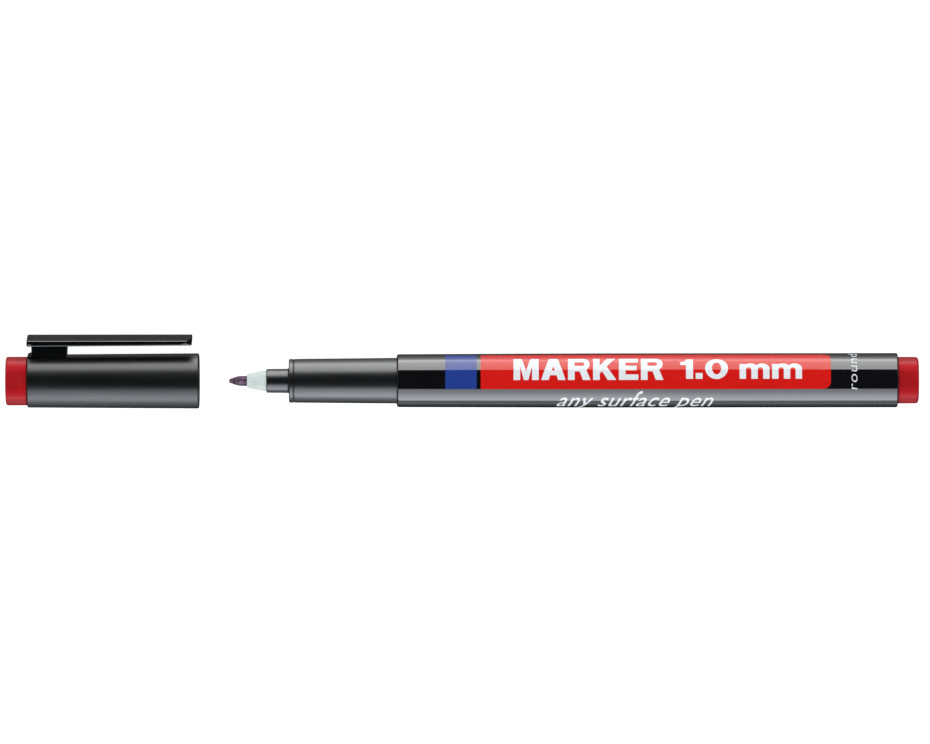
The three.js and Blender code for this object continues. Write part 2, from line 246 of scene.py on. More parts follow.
def add_bump(material, shader, field, depth):
    """Makes the surface rise and fall by up to the given depth with the field."""
    nodes, links = material.node_tree.nodes, material.node_tree.links
    bump = nodes.new("ShaderNodeBump")
    bump.inputs["Strength"].default_value = 1
    bump.inputs["Distance"].default_value = depth
    links.new(field, bump.inputs["Height"])
    links.new(bump.outputs["Normal"], shader.inputs["Normal"])


def barrel_black():
    """Polished black plastic, with the faint waviness of a moulded tube."""
    material, shader = shader_of("barrel_black", 0.06)
    clouds = cloudiness(material, 6 * MM)
    vary_colour(material, shader, clouds, (0.003, 0.003, 0.0035), (0.0042, 0.004, 0.005))
    vary_roughness(material, shader, cloudiness(material, 2 * MM, (6, 1, 1)), 0.04, 0.09)
    add_bump(material, shader, cloudiness(material, 5 * MM, (4, 1, 1), 1), 0.004 * MM)
    return material


def matt_black():
    """Black plastic of the front section, with a fine spark-eroded surface."""
    material, shader = shader_of("matt_black", 0.33)
    clouds = cloudiness(material, 4 * MM)
    vary_colour(material, shader, clouds, (0.0035, 0.0035, 0.004), (0.005, 0.005, 0.0055))
    vary_roughness(material, shader, cloudiness(material, 1.2 * MM, (9, 1, 1)), 0.29, 0.35)
    add_bump(material, shader, cloudiness(material, 0.12 * MM, detail=2), 0.004 * MM)
    return material


def cap_black():
    """Black plastic of the cap, a little duller than the front section's."""
    material, shader = shader_of("cap_black", 0.38, Specular_IOR_Level=0.37)
    clouds = cloudiness(material, 4 * MM)
    vary_colour(material, shader, clouds, (0.0015, 0.0015, 0.0018), (0.003, 0.003, 0.0034))
    vary_roughness(material, shader, cloudiness(material, 1.4 * MM, (9, 1, 1)), 0.31, 0.38)
    add_bump(material, shader, cloudiness(material, 0.14 * MM, detail=2), 0.005 * MM)
    return material


def clip_black():
    """Glossy black plastic of the clip."""
    material, shader = shader_of("clip_black", 0.08)
    clouds = cloudiness(material, 4 * MM)
    vary_colour(material, shader, clouds, (0.0012, 0.0012, 0.0014), (0.002, 0.002, 0.0023))
    vary_roughness(material, shader, cloudiness(material, 0.8 * MM, (8, 1, 1)), 0.06, 0.1)
    add_bump(material, shader, cloudiness(material, 0.25 * MM, detail=2), 0.002 * MM)
    return material


def plug_red():
    """Red plastic whose gloss is tinted by the colour below its surface."""
    material, shader = shader_of(
        "plug_red",
        0.16,
        Specular_IOR_Level=0.34,
        Specular_Tint=(1, 0, 0.03, 1),
        IOR=1.36,
    )
    clouds = cloudiness(material, 2.5 * MM)
    vary_colour(material, shader, clouds, (0.31, 0.009, 0.012), (0.35, 0.0105, 0.0135))
    vary_roughness(material, shader, cloudiness(material, 0.7 * MM), 0.12, 0.2)
    add_bump(material, shader, cloudiness(material, 0.4 * MM, detail=2), 0.002 * MM)
    return material


def holder_white():
    """Slightly translucent white plastic of the nib's holder."""
    material, shader = shader_of(
        "holder_white",
        0.5,
        Specular_IOR_Level=0.2,
        Subsurface_Weight=0.3,
        Subsurface_Scale=0.4 * MM,
    )
    clouds = cloudiness(material, 1.5 * MM)
    vary_colour(material, shader, clouds, (0.54, 0.62, 0.61), (0.6, 0.67, 0.66))
    vary_roughness(material, shader, cloudiness(material, 0.5 * MM), 0.45, 0.6)
    add_bump(material, shader, cloudiness(material, 0.2 * MM, detail=2), 0.003 * MM)
    return material


def nib_fibre():
    """Pressed fibres soaked with dried ink, lying along the nib."""
    material, shader = shader_of("nib_fibre", 0.7, Specular_IOR_Level=0.2)
    fibres = cloudiness(material, 0.17 * MM, (9, 1, 1), 2)
    vary_colour(material, shader, fibres, (0.006, 0.002, 0.006), (0.24, 0.14, 0.235), 0.42, 0.62)
    vary_roughness(material, shader, fibres, 0.5, 0.85)
    add_bump(material, shader, fibres, 0.02 * MM)
    return material


def reservoir_fibre():
    """Loose white polyester fibre of the ink reservoir, stained by the ink in it."""
    material, shader = shader_of("reservoir_fibre", 0.9)
    fibres = cloudiness(material, 0.15 * MM, (30, 1, 1), 4)
    vary_colour(material, shader, fibres, (0.35, 0.02, 0.03), (0.6, 0.06, 0.07))
    vary_roughness(material, shader, fibres, 0.8, 0.95)
    add_bump(material, shader, fibres, 0.05 * MM)
    return material


def wrap_film():
    """Thin plastic film round the reservoir, with fine creases."""
    material, shader = shader_of("wrap_film", 0.3)
    creases = cloudiness(material, 0.6 * MM, (20, 1, 1))
    vary_colour(material, shader, creases, (0.75, 0.72, 0.7), (0.85, 0.84, 0.82))
    vary_roughness(material, shader, creases, 0.2, 0.4)
    add_bump(material, shader, creases, 0.02 * MM)
    return material


def seal_white():
    """White soft plastic of the inner cap."""
    material, shader = shader_of("seal_white", 0.4)
    clouds = cloudiness(material, 2 * MM)
    vary_colour(material, shader, clouds, (0.7, 0.7, 0.68), (0.78, 0.78, 0.76))
    vary_roughness(material, shader, cloudiness(material, 0.5 * MM), 0.35, 0.48)
    add_bump(material, shader, cloudiness(material, 0.3 * MM, detail=2), 0.004 * MM)
    return material


def printed(name, first, second, gloss, tint=(1, 1, 1)):
    """An even layer of printing ink, with a very slight mottle."""
    material, shader = shader_of(name, 0.07, Specular_IOR_Level=gloss, Specular_Tint=(*tint, 1))
    vary_colour(material, shader, cloudiness(material, 1.5 * MM), first, second)
    vary_roughness(material, shader, cloudiness(material, 0.5 * MM), 0.06, 0.11)
    add_bump(material, shader, cloudiness(material, 3 * MM, (4, 1, 1), 1), 0.003 * MM)
    return material


MATERIALS = {
    "barrel_black": barrel_black(),
    "matt_black": matt_black(),
    "cap_black": cap_black(),
    "clip_black": clip_black(),
    "plug_red": plug_red(),
    "holder_white": holder_white(),
    "nib_fibre": nib_fibre(),
    "reservoir_fibre": reservoir_fibre(),
    "wrap_film": wrap_film(),
    "seal_white": seal_white(),
    "label_red": printed("label_red", (0.55, 0.0085, 0.006), (0.58, 0.0095, 0.007), 0.27, (1, 0.86, 0.78)),
    "label_blue": printed("label_blue", (0.0145, 0.039, 0.225), (0.016, 0.043, 0.25), 0.27),
    "label_white": printed("label_white", (0.66, 0.7, 0.74), (0.7, 0.74, 0.78), 0.25),
}

# ---- Making pieces ----


def add_piece(name, bm, body, slot):
    """Turns a bmesh into a shown piece that rides on a CAD body. No body leaves it free for a blend."""
    bmesh.ops.recalc_face_normals(bm, faces=bm.faces)
    mesh = bpy.data.meshes.new(name)
    bm.to_mesh(mesh)
    bm.free()
    mesh.shade_smooth()
    mesh.set_sharp_from_angle(angle=SHARP_ANGLE)
    mesh.materials.append(MATERIALS[slot])
    piece = bpy.data.objects.new(name, mesh)
    bpy.context.scene.collection.objects.link(piece)
    if body:
        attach(piece, body)
    return piece


def rounded(corners, steps=6):
    """A closed outline from (a, b, fillet) corners: each corner becomes an arc of its fillet radius."""
    points = []
    for i, (a, b, fillet) in enumerate(corners):
        here = Vector((a, b))
        before = (Vector(corners[i - 1][:2]) - here).normalized()
        after = (Vector(corners[(i + 1) % len(corners)][:2]) - here).normalized()
        if fillet == 0:
            points.append(here)
            continue
        half = before.angle(after) / 2
        centre = here + (before + after).normalized() * fillet / math.sin(half)
        start = (here + before * fillet / math.tan(half) - centre).normalized()
        end = (here + after * fillet / math.tan(half) - centre).normalized()
        for step in range(steps + 1):
            points.append(centre + start.slerp(end, step / steps).normalized() * fillet)
    return points


def braced(points, reach=0.06 * MM, closed=True):
    """Adds a point just inside both ends of each long side, so that the shading stays even along it."""
    made = []
    count = len(points)
    for i, point in enumerate(points):
        made.append(point)
        if i == count - 1 and not closed:
            break
        side = points[(i + 1) % count] - point
        if side.length > 6 * reach:
            made.append(point + side.normalized() * reach)
            made.append(points[(i + 1) % count] - side.normalized() * reach)
    return made


def turned_mesh(outline, radius_change=None):
    """A bmesh of (x, radius) points turned about the X axis.

    An outline with its first point on the axis is closed through the axis, and any other closes on itself.
    radius_change(x, radius, angle) may add a little to each point's radius."""
    bm = bmesh.new()
    rings = []
    for x, radius in outline:
        sides = 1 if radius == 0 else ROUND_SIDES
        ring = []
        for side in range(sides):
            angle = 2 * math.pi * side / ROUND_SIDES
            size = radius + (radius_change(x, radius, angle) if radius_change and radius else 0)
            ring.append(bm.verts.new((x, size * math.cos(angle), size * math.sin(angle))))
        rings.append(ring)
    solid = len(rings[0]) == 1
    followers = rings[1:] if solid else rings[1:] + rings[:1]
    for ring, follower in zip(rings, followers):
        for side in range(ROUND_SIDES):
            beside = (side + 1) % ROUND_SIDES
            corners = [
                ring[side % len(ring)],
                ring[beside % len(ring)],
                follower[beside % len(follower)],
                follower[side % len(follower)],
            ]
            bm.faces.new(list(dict.fromkeys(corners)))
    return bm


def turned_piece(name, corners, body, slot, steps=6):
    """A turned piece from (x, radius, fillet) corners, which replaces the CAD node of the same name."""
    outline = braced(rounded(corners, steps), closed=corners[0][1] != 0)
    piece = add_piece(name + "_form", turned_mesh(outline), body, slot)
    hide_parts(name)
    return piece


# ---- The pen ----


def barrel_radius(x):
    """The barrel's outer radius at a place along it."""
    if x <= BARREL_TAPER:
        return BARREL_RADIUS
    share = (x - BARREL_TAPER) / (SHOULDER - BARREL_TAPER)
    return BARREL_RADIUS + (BARREL_FRONT_RADIUS - BARREL_RADIUS) * share


def make_barrel():
    turned_piece(
        "barrel",
        [
            (BARREL_START, BARREL_RADIUS, 0.3 * MM),
            (BARREL_TAPER, BARREL_RADIUS, 0),
            (SHOULDER, BARREL_FRONT_RADIUS, 0.42 * MM),
            (SHOULDER, BARREL_BORE, 0.1 * MM),
            (BARREL_START, BARREL_BORE, 0.1 * MM),
        ],
        "pen",
        "barrel_black",
    )


def make_rear_plug():
    head_front = BARREL_START - SEAM_GAP
    spigot_end = BARREL_START + PLUG_SPIGOT_LENGTH
    turned_piece(
        "rear_plug",
        [
            (PLUG_START, 0, 0),
            (PLUG_START, PLUG_RADIUS, PLUG_EDGE),
            (head_front, PLUG_RADIUS, SEAM_EDGE),
            (head_front, PLUG_SPIGOT_RADIUS, 0.05 * MM),
            (spigot_end, PLUG_SPIGOT_RADIUS, 0.3 * MM),
            (spigot_end, PLUG_HOLLOW_RADIUS, 0.1 * MM),
            (PLUG_START + PLUG_WALL, PLUG_HOLLOW_RADIUS, 0.3 * MM),
            (PLUG_START + PLUG_WALL, 0, 0),
        ],
        "pen",
        "plug_red",
    )


def make_front_section():
    step = SHOULDER + SEAM_GAP
    groove = SECTION_FRONT - SECTION_RIM
    turned_piece(
        "front_section",
        [
            (SECTION_START, SECTION_SPIGOT_RADIUS, 0.2 * MM),
            (step, SECTION_SPIGOT_RADIUS, 0),
            (step, SECTION_REAR_RADIUS, 0),
            (groove - GROOVE_WIDTH, SECTION_FRONT_RADIUS, 0.05 * MM),
            (groove - GROOVE_WIDTH / 2, SECTION_FRONT_RADIUS - GROOVE_DEPTH, 0.04 * MM),
            (groove, SECTION_FRONT_RADIUS, 0.05 * MM),
            (SECTION_FRONT, SECTION_FRONT_RADIUS, 0.22 * MM),
            (SECTION_FRONT, NOZZLE_REAR_RADIUS, 0.3 * MM),
            (NOZZLE_FRONT, NOZZLE_FRONT_RADIUS, 0.16 * MM),
            (NOZZLE_FRONT, NOZZLE_BORE, 0.04 * MM),
            (BORE_STEP_FRONT, NOZZLE_BORE, 0),
            (BORE_STEP_REAR, SECTION_BORE, 0),
            (SECTION_START, SECTION_BORE, 0.1 * MM),
        ],
        "pen",
        "matt_black",
    )


def make_nib_holder():
    collar = NOZZLE_FRONT + SEAM_GAP
    length = HOLDER_FRONT - collar
    steps = 14
    side = []
    for step in range(1, steps):
        share = step / steps
        straight = HOLDER_REAR_RADIUS + (HOLDER_FRONT_RADIUS - HOLDER_REAR_RADIUS) * share
        side.append((collar + length * share, straight + HOLDER_BULGE * math.sin(math.pi * share), 0))
    turned_piece(
        "nib_holder",
        [
            (HOLDER_START, HOLDER_STEM_RADIUS, 0.1 * MM),
            (collar, HOLDER_STEM_RADIUS, 0),
            (collar, HOLDER_REAR_RADIUS, 0.05 * MM),
            *side,
            (HOLDER_FRONT, HOLDER_FRONT_RADIUS, 0.06 * MM),
            (HOLDER_FRONT, HOLDER_BORE, 0.03 * MM),
            (HOLDER_START, HOLDER_BORE, 0.05 * MM),
        ],
        "pen",
        "holder_white",
        4,
    )


def fibre_relief(x, radius, angle):
    """Fine furrows along the nib, between its fibres."""
    place = Vector((x / (1.4 * MM), 9 * math.cos(angle), 9 * math.sin(angle)))
    return 0.022 * MM * noise.noise(place) * min(1, radius / NIB_RADIUS)


def make_fibre_nib():
    """The nib's side swells from its rounded tip like a bullet, and its end is crowned."""
    steps = 26
    ring_gap = 0.2 * MM
    outline = [Vector((NIB_START, 0)), Vector((NIB_START, NIB_RADIUS))]
    for step in range(9):
        outline.append(Vector((HOLDER_FRONT - (8 - step) * ring_gap, NIB_RADIUS)))
    for step in range(steps + 1):
        share = 1 - step / steps
        swell = (NIB_RADIUS - NIB_TIP_RADIUS) * math.sin(math.pi / 2 * share)
        x = NIB_TIP - NIB_CROWN - (NIB_SWELL - NIB_CROWN) * share
        outline.append(Vector((x, NIB_TIP_RADIUS + swell)))
    for step in range(1, 5):
        bend = math.pi / 2 * step / 5
        x = NIB_TIP - NIB_CROWN * (1 - math.sin(bend))
        outline.append(Vector((x, NIB_TIP_RADIUS * math.cos(bend))))
    outline.append(Vector((NIB_TIP, 0)))
    piece = add_piece("fibre_nib_form", turned_mesh(outline, fibre_relief), "pen", "nib_fibre")
    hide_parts("fibre_nib")


make_barrel()
make_rear_plug()
make_front_section()
make_nib_holder()
make_fibre_nib()

# ---- The cap ----


def make_cap_tube():
    turned_piece(
        "cap_tube",
        [
            (CAP_MOUTH, CAP_MOUTH_RADIUS, CAP_EDGE),
            (CAP_CLOSED, CAP_CLOSED_RADIUS, CAP_EDGE),
            (CAP_CLOSED, CAP_LIP_RADIUS, 0.05 * MM),
            (CAP_CLOSED - CAP_LIP, CAP_LIP_RADIUS, 0.05 * MM),
            (CAP_CLOSED - CAP_LIP, CAP_BORE, 0.2 * MM),
            (CAP_MOUTH, CAP_BORE, 0.25 * MM),
        ],
        "cap",
        "cap_black",
    )


def make_cap_end_plug():
    head_start = CAP_CLOSED + SEAM_GAP
    spigot_start = CAP_CLOSED - CAP_SPIGOT_LENGTH
    hollow_radius = CAP_SPIGOT_RADIUS - CAP_SPIGOT_WALL
    turned_piece(
        "cap_end_plug",
        [
            (CAP_END, 0, 0),
            (CAP_END, CAP_PLUG_RADIUS, CAP_PLUG_EDGE),
            (head_start, CAP_PLUG_RADIUS, SEAM_EDGE),
            (head_start, CAP_SPIGOT_RADIUS, 0.05 * MM),
            (spigot_start, CAP_SPIGOT_RADIUS, 0.3 * MM),
            (spigot_start, hollow_radius, 0.1 * MM),
            (CAP_END - PLUG_WALL, hollow_radius, 0.3 * MM),
            (CAP_END - PLUG_WALL, 0, 0),
        ],
        "cap",
        "plug_red",
    )


def make_inner_cap():
    floor = SEAL_END - SEAL_FLOOR
    turned_piece(
        "inner_cap",
        [
            (SEAL_END, 0, 0),
            (SEAL_END, SEAL_RADIUS, 0.4 * MM),
            (SEAL_MOUTH, SEAL_RADIUS, 0.08 * MM),
            (SEAL_MOUTH, SEAL_BORE + SEAL_FLARE, 0.08 * MM),
            (SEAL_MOUTH + SEAL_FLARE, SEAL_BORE, 0.1 * MM),
            (floor, SEAL_BORE, 0.3 * MM),
            (floor, 0, 0),
        ],
        "cap",
        "seal_white",
    )


make_cap_tube()
make_cap_end_plug()
make_inner_cap()

# ---- The clip ----


def slab(outline, width):
    """A bmesh of an (x, z) outline pushed out to an equal width on both sides of y = 0."""
    bm = bmesh.new()
    near = [bm.verts.new((x, -width / 2, z)) for x, z in outline]
    far = [bm.verts.new((x, width / 2, z)) for x, z in outline]
    bm.faces.new(near)
    bm.faces.new(reversed(far))
    for i in range(len(outline)):
        j = (i + 1) % len(outline)
        bm.faces.new((near[j], near[i], far[i], far[j]))
    bmesh.ops.recalc_face_normals(bm, faces=bm.faces)
    return bm


def soften(bm, size, steps=4):
    """Rounds the slab's sharp edges."""
    bm.normal_update()
    edges = [edge for edge in bm.edges if edge.calc_face_angle(0) > SOFT_ANGLE]
    bmesh.ops.bevel(
        bm,
        geom=edges,
        offset=size,
        segments=steps,
        profile=0.5,
        affect="EDGES",
        clamp_overlap=True,
    )


def cut(bm, place, normal, tolerance=CUT_TOLERANCE, clear=False):
    """Cuts every face along a plane. With clear, what lies beyond the plane is removed."""
    everything = bm.verts[:] + bm.edges[:] + bm.faces[:]
    bmesh.ops.bisect_plane(
        bm,
        geom=everything,
        plane_co=place,
        plane_no=normal,
        clear_outer=clear,
        dist=tolerance,
    )


def cut_tip_corner(bm, tip):
    """Cuts the facet at the tip's outer corner on the printed side, and rounds its rim a little."""
    side = CLIP_WIDTH / 2
    start = Vector((tip + CLIP_CUT_LENGTH, side, CLIP_OUTER))
    across = Vector((tip, side - CLIP_CUT_WIDTH, CLIP_OUTER)) - start
    down = Vector((tip, side, CLIP_OUTER - CLIP_CUT_DEPTH)) - start
    away = across.cross(down).normalized()
    if away.x > 0:
        away.negate()
    cut(bm, start, away, clear=True)
    facet = bmesh.ops.holes_fill(bm, edges=[edge for edge in bm.edges if edge.is_boundary])["faces"]
    bmesh.ops.recalc_face_normals(bm, faces=bm.faces)
    rim = list({edge for face in facet for edge in face.edges})
    bmesh.ops.bevel(bm, geom=rim, offset=CLIP_CUT_EDGE, segments=2, profile=0.5, affect="EDGES")


def clip_blade():
    """The arm, in the clip's own frame: x along the pen, y across, z out from the axis."""
    tip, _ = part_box("clip_arm")
    _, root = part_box("clip_root")
    bm = slab(
        rounded(
            [
                (tip.x, CLIP_INNER_TIP, 0),
                (root.x, CLIP_INNER_ROOT, CLIP_ROOT_EDGE * 0.9),
                (root.x, CLIP_OUTER, CLIP_ROOT_EDGE),
                (tip.x, CLIP_OUTER, 0),
            ]
        ),
        CLIP_WIDTH,
    )
    soften(bm, CLIP_EDGE)
    cut_tip_corner(bm, tip.x)
    # Edge loops every millimetre along the arm
    for step in range(2, 32):
        cut(bm, (tip.x + step * MM, 0, 0), (1, 0, 0))
    return bm


def clip_post():
    """The post under the clip's root, with a low foot that runs to the cap's closed end."""
    foot_end = CAP_CLOSED - 0.1 * MM
    top = CLIP_INNER_ROOT + 0.4 * MM
    bm = slab(
        [
            (POST_FRONT + 0.2 * MM, POST_SUNK),
            (POST_FRONT, top),
            (POST_REAR, top),
            (POST_REAR, CAP_CLOSED_RADIUS + 0.38 * MM),
            (POST_REAR + 0.1 * MM, CAP_CLOSED_RADIUS + 0.3 * MM),
            (foot_end - 0.3 * MM, CAP_CLOSED_RADIUS + 0.18 * MM),
            (foot_end, CAP_CLOSED_RADIUS + 0.05 * MM),
            (foot_end, POST_SUNK),
        ],
        POST_WIDTH,
    )
    soften(bm, 0.12 * MM, 3)
    return bm


def united(first, second):
    """The union of two closed bmeshes, as a new bmesh."""
    parts = []
    for bm in (first, second):
        mesh = bpy.data.meshes.new("part")
        bm.to_mesh(mesh)
        bm.free()
        part = bpy.data.objects.new("part", mesh)
        bpy.context.scene.collection.objects.link(part)
        parts.append(part)
    union = parts[0].modifiers.new("union", "BOOLEAN")
    union.operation = "UNION"
    union.solver = "EXACT"
    union.object = parts[1]
    bpy.context.view_layer.update()
    whole = parts[0].evaluated_get(bpy.context.evaluated_depsgraph_get())
    bm = bmesh.new()
    bm.from_mesh(whole.to_mesh())
    whole.to_mesh_clear()
    for part in parts:
        bpy.data.objects.remove(part)
    return bm


def make_clip():
    hinge = next(joint for joint in frame["joints"] if joint["name"] == "clip_flex")
    along = Vector((1, 0, 0))
    across = Vector(hinge["axis"]).normalized()
    turn = Matrix((along, across, along.cross(across))).transposed()
    bm = united(clip_blade(), clip_post())
    bmesh.ops.transform(bm, matrix=turn.to_4x4(), verts=bm.verts)
    clip = add_piece("clip", bm, None, "clip_black")
    even = clip.modifiers.new("even_shading", "WEIGHTED_NORMAL")
    even.keep_sharp = True
    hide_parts("clip_root", "clip_arm")
    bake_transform(clip)


make_clip()

# ---- Printing on the barrel ----
#
# A print is drawn flat, as (u, v) in metres: u runs along the pen towards its rear end, so that u = -x, and v
# runs round the barrel from the line that faces the camera, towards the clip's side.

PRINT_HEIGHT = 0.02 * MM
TEXT_HEIGHT = 0.035 * MM
PRINT_SUNK = 0.01 * MM  # a print's underside lies this far below the barrel's surface
PRINT_TOLERANCE = 1e-8
LABEL_START = -85.5 * MM
LABEL_END = -17.27 * MM
LABEL_BOTTOM = math.radians(-18.5) * BARREL_RADIUS
LABEL_TOP = math.radians(71) * BARREL_RADIUS
BLOCK_START = -92.4 * MM
BLOCK_END = -86.3 * MM


def outline_mesh(outlines):
    """A flat bmesh of closed outlines, where an outline inside another is a hole."""
    curve = bpy.data.curves.new("drawing", "CURVE")
    curve.dimensions = "2D"
    curve.fill_mode = "BOTH"
    for outline in outlines:
        spline = curve.splines.new("POLY")
        spline.points.add(len(outline) - 1)
        for point, (u, v) in zip(spline.points, outline):
            point.co = (u / MM, v / MM, 0, 1)
        spline.use_cyclic_u = True
    return curve_mesh(curve)


def curve_mesh(curve):
    """The filled flat mesh of a curve or text that is drawn in millimetres."""
    drawing = bpy.data.objects.new("drawing", curve)
    bpy.context.scene.collection.objects.link(drawing)
    bpy.context.view_layer.update()
    flat = drawing.evaluated_get(bpy.context.evaluated_depsgraph_get())
    bm = bmesh.new()
    bm.from_mesh(flat.to_mesh())
    flat.to_mesh_clear()
    bpy.data.objects.remove(drawing)
    bmesh.ops.remove_doubles(bm, verts=bm.verts, dist=1e-4)
    bmesh.ops.scale(bm, vec=(MM, MM, MM), verts=bm.verts)
    return bm


def wrap_print(name, bm, slot, height):
    """Thickens a flat drawing, wraps it round the barrel and adds it as a piece of the pen."""
    lowest = min(vert.co.y for vert in bm.verts)
    highest = max(vert.co.y for vert in bm.verts)
    step = math.radians(360 / ROUND_SIDES) * BARREL_RADIUS
    cuts = [((-BARREL_TAPER, 0, 0), (1, 0, 0))]
    for number in range(math.ceil(lowest / step), math.floor(highest / step) + 1):
        cuts.append(((0, step * number, 0), (0, 1, 0)))
    for place, normal in cuts:
        cut(bm, place, normal, PRINT_TOLERANCE)
    raised = bmesh.ops.extrude_face_region(bm, geom=bm.faces[:], use_keep_orig=True)["geom"]
    tops = [item for item in raised if isinstance(item, bmesh.types.BMVert)]
    for vert in bm.verts:
        vert.co.z = -PRINT_SUNK
    for vert in tops:
        vert.co.z = height
    for vert in bm.verts:
        turn = vert.co.y / BARREL_RADIUS
        out = VIEW_BACK * math.cos(turn) + VIEW_UP * math.sin(turn)
        x = -vert.co.x
        vert.co = Vector((x, 0, 0)) + out * (barrel_radius(x) + vert.co.z)
    return add_piece(name, bm, "pen", slot)


def make_label():
    """The red panel under the words, and the plain blue block beside it."""
    rear, front = 1.5 * MM, 0.25 * MM
    panel = rounded(
        [
            (LABEL_START, LABEL_BOTTOM, front),
            (LABEL_END, LABEL_BOTTOM, rear),
            (LABEL_END, LABEL_TOP, rear),
            (LABEL_START, LABEL_TOP, front),
        ]
    )
    wrap_print("label_panel", outline_mesh([panel]), "label_red", PRINT_HEIGHT)
    block = rounded(
        [
            (BLOCK_START, LABEL_BOTTOM, front),
            (BLOCK_END, LABEL_BOTTOM, front),
            (BLOCK_END, LABEL_TOP, front),
            (BLOCK_START, LABEL_TOP, front),
        ]
    )
    wrap_print("label_block", outline_mesh([block]), "label_blue", PRINT_HEIGHT)


def arc(centre, radii, start, end, steps=10):
    """Points on part of an ellipse, with angles in degrees."""
    points = []
    for step in range(steps + 1):
        angle = math.radians(start + (end - start) * step / steps)
        points.append((centre[0] + radii[0] * math.cos(angle), centre[1] + radii[1] * math.sin(angle)))
    return points


# Plain bold letters and figures, in millimetres: each is (width, outlines).

CAP = 4.75  # height of a capital
STEM = 1.4  # width of an upright stroke
BAR = 1.08  # height of a level stroke
WORD_GAP = 1.3
LETTER_GAP = 0.5 * MM


def letter_m():
    width, slope = 5.3, 1.72
    return width, [
        [
            (0, 0),
            (0, CAP),
            (slope, CAP),
            (width / 2, 1.75),
            (width - slope, CAP),
            (width, CAP),
            (width, 0),
            (width - STEM, 0),
            (width - STEM, 2.85),
            (width / 2 + 0.5, 0),
            (width / 2 - 0.5, 0),
            (STEM, 2.85),
            (STEM, 0),
        ]
    ]


def letter_a():
    width, foot, peak = 5.1, 1.55, 0.9
    lean = (width / 2 - peak) / CAP
    low, high = 0.95, 1.9
    return width, [
        [
            (0, 0),
            (width / 2 - peak, CAP),
            (width / 2 + peak, CAP),
            (width, 0),
            (width - foot, 0),
            (width - foot - low * lean, low),
            (foot + low * lean, low),
            (foot, 0),
        ],
        [
            (foot + high * lean, high),
            (width - foot - high * lean, high),
            (width / 2, (width / 2 - foot) / lean),
        ],
    ]


def letter_r():
    width, bowl = 4.75, 1.42
    middle = CAP - bowl
    return width, [
        [
            (0, 0),
            (0, CAP),
            *arc((width - bowl - 0.15, middle), (bowl, bowl), 90, -62),
            (width, 0),
            (width - 1.6, 0),
            (2.45, 1.72),
            (STEM, 1.72),
            (STEM, 0),
        ],
        [
            (STEM, middle + 0.42),
            *arc((width - bowl - 0.3, middle), (0.42, 0.42), 90, -90, 6),
            (STEM, middle - 0.42),
        ],
    ]


def letter_k():
    width = 4.9
    return width, [
        [
            (0, 0),
            (0, CAP),
            (STEM, CAP),
            (STEM, 2.95),
            (2.95, CAP),
            (4.75, CAP),
            (2.85, 2.72),
            (width, 0),
            (3.1, 0),
            (1.87, 1.75),
            (STEM, 1.27),
            (STEM, 0),
        ]
    ]


def letter_e():
    width, middle = 4.1, CAP / 2 + 0.05
    return width, [
        [
            (0, 0),
            (0, CAP),
            (width - 0.1, CAP),
            (width - 0.1, CAP - BAR),
            (STEM, CAP - BAR),
            (STEM, middle + 0.5),
            (width - 0.35, middle + 0.5),
            (width - 0.35, middle - 0.5),
            (STEM, middle - 0.5),
            (STEM, BAR),
            (width, BAR),
            (width, 0),
        ]
    ]


def figure_one():
    width, flag = 2.6, 3.15
    return width, [
        [
            (width - 1.45, 0),
            (width - 1.45, flag),
            (0, flag),
            (0, flag + 0.8),
            *arc((0.1, 5.2), (1.25, 1.25), -80, -21, 5),
            (width, CAP),
            (width, 0),
        ]
    ]


def full_stop():
    return STEM, [[(0, 0), (0, STEM * 0.9), (STEM, STEM * 0.9), (STEM, 0)]]


def figure_nought():
    width = 4.7
    middle = (width / 2, CAP / 2)
    outer = arc(middle, (width / 2, CAP / 2 + 0.06), 0, 345, 23)
    inner = arc(middle, (width / 2 - STEM, CAP / 2 - 0.95), 0, 345, 23)
    return width, [outer, inner]


def small_m():
    height, stem = 3.45, 1.3
    arch, inner = (1.5, 1.25), (0.55, 0.5)
    return 6.1, [
        [
            (0, 0),
            (0, height - 0.05),
            (1.22, height - 0.05),
            *arc((2.2, height - 1.15), arch, 130, 45, 7),
            *arc((4.6, height - 1.15), arch, 140, 0),
            (6.1, 0),
            (6.1 - stem, 0),
            *arc((4.25, height - 1.4), inner, 0, 180, 8),
            (3.7, 0),
            (3.7 - stem, 0),
            *arc((1.85, height - 1.4), inner, 0, 180, 8),
            (stem, 0),
        ]
    ]


LETTERS = {
    "M": letter_m,
    "A": letter_a,
    "R": letter_r,
    "K": letter_k,
    "E": letter_e,
    "1": figure_one,
    ".": full_stop,
    "0": figure_nought,
    "m": small_m,
}


def make_bold_word(name, text, start, end, baseline, height=1):
    """Sets plain bold letters between two places along the barrel, and widens them to fill the stretch."""
    drawn = [LETTERS[letter]() if letter != " " else (WORD_GAP, []) for letter in text]
    total = sum(width for width, _ in drawn) * MM
    share = (end - start - LETTER_GAP * (len(text) - 1)) / total
    outlines = []
    place = start
    for width, letter in drawn:
        for outline in letter:
            outlines.append([(place + u * share * MM, baseline + v * height * MM) for u, v in outline])
        place += width * share * MM + LETTER_GAP
    wrap_print(name, outline_mesh(outlines), "label_white", TEXT_HEIGHT)


def small_text(text, size, weight, slant, spacing):
    """Flat text from Blender's own font, in millimetres."""
    curve = bpy.data.curves.new("text", "FONT")
    curve.body = text
    curve.size = size
    curve.offset = weight
    curve.shear = slant
    curve.space_character = spacing
    curve.resolution_u = 5
    return curve_mesh(curve)


def extent(bm):
    """Where flat text starts and ends along its line."""
    values = [vert.co.x for vert in bm.verts]
    return min(values), max(values)


